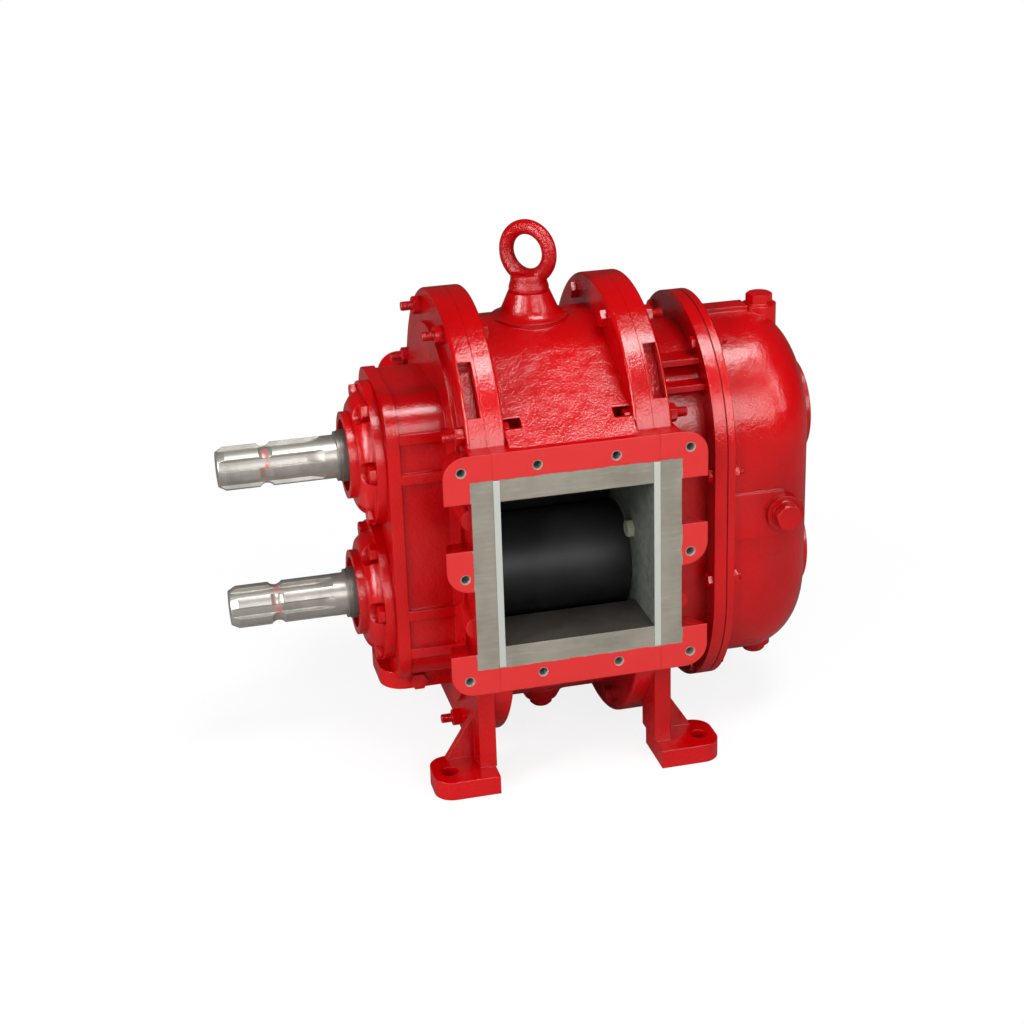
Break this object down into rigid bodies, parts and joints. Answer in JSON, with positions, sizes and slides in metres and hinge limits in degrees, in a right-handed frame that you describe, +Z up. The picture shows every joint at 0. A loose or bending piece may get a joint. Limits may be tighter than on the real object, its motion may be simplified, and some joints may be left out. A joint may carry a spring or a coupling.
{
  "type": "rotary lobe pump",
  "caption": "Red rotary lobe pump with a square flanged port front and rear, splined twin shafts at one end, a domed gear case at the other, feet and a lifting eye.",
  "frame": {"origin": "on the ground, at the centre of the four foot holes", "axes": "+X along the shafts towards the gear case, +Y towards the rear port, +Z up"},
  "size_m": [0.482, 0.272, 0.4308],
  "materials": {
    "red_paint": "gloss",
    "shaft_steel": "ground",
    "plate_steel": "machined",
    "zinc_steel": "zinc plated",
    "rotor_rubber": "satin",
    "bearing_steel": "polished",
    "gear_steel": "oiled",
    "seal_iron": "lapped",
    "seal_rubber": "matte",
    "gasket_paper": "matte"
  },
  "bodies": {
    "housing": {"bearing_cover_screws": "red_paint", "casing_drain_plug": "red_paint", "drive_chamber_bolts": "red_paint", "drive_chamber_nuts": "red_paint", "drive_end_shield": "red_paint", "drive_wear_plate": "plate_steel", "drive_wear_plate_screws": "zinc_steel", "gear_case_bolts": "red_paint", "gear_case_cover": "red_paint", "gear_case_gasket": "gasket_paper", "gear_case_nuts": "red_paint", "gear_chamber_bolts": "red_paint", "gear_chamber_nuts": "red_paint", "gear_end_shield": "red_paint", "gear_wear_plate": "plate_steel", "gear_wear_plate_screws": "zinc_steel", "lifting_eye": "red_paint", "lower_bearing_cover": "red_paint", "lower_casing": "red_paint", "lower_drive_outer_race": "bearing_steel", "lower_drive_seal_seat": "seal_iron", "lower_gear_outer_race": "bearing_steel", "lower_gear_seal_seat": "seal_iron", "lower_lip_seal": "seal_rubber", "oil_drain_plug": "red_paint", "oil_fill_plug": "red_paint", "oil_level_plug": "red_paint", "support_plate_plug": "red_paint", "upper_bearing_cover": "red_paint", "upper_casing": "red_paint", "upper_drive_outer_race": "bearing_steel", "upper_drive_seal_seat": "seal_iron", "upper_gear_outer_race": "bearing_steel", "upper_gear_seal_seat": "seal_iron", "upper_lip_seal": "seal_rubber"},
    "upper_shaft_body": {"upper_drive_inner_race": "bearing_steel", "upper_drive_seal_ring": "seal_iron", "upper_gear_inner_race": "bearing_steel", "upper_gear_key": "gear_steel", "upper_gear_seal_ring": "seal_iron", "upper_gear_spacer": "gear_steel", "upper_rotor": "rotor_rubber", "upper_rotor_key": "gear_steel", "upper_shaft": "shaft_steel", "upper_shaft_nut": "gear_steel", "upper_timing_gear": "gear_steel"},
    "lower_shaft_body": {"lower_drive_inner_race": "bearing_steel", "lower_drive_seal_ring": "seal_iron", "lower_gear_inner_race": "bearing_steel", "lower_gear_key": "gear_steel", "lower_gear_seal_ring": "seal_iron", "lower_gear_spacer": "gear_steel", "lower_rotor": "rotor_rubber", "lower_rotor_key": "gear_steel", "lower_shaft": "shaft_steel", "lower_shaft_nut": "gear_steel", "lower_timing_gear": "gear_steel"}
  },
  "joints": [
    {"name": "upper_shaft_spin", "type": "hinge", "parent": "housing", "child": "upper_shaft_body", "pos_m": [0, 0, 0.25], "axis": [1, 0, 0], "continuous": true},
    {"name": "lower_shaft_spin", "type": "hinge", "parent": "housing", "child": "lower_shaft_body", "pos_m": [0, 0, 0.13], "axis": [1, 0, 0], "continuous": true}
  ],
  "couplings": [
    {"joint": "lower_shaft_spin", "follows": "upper_shaft_spin", "ratio": -1}
  ]
}
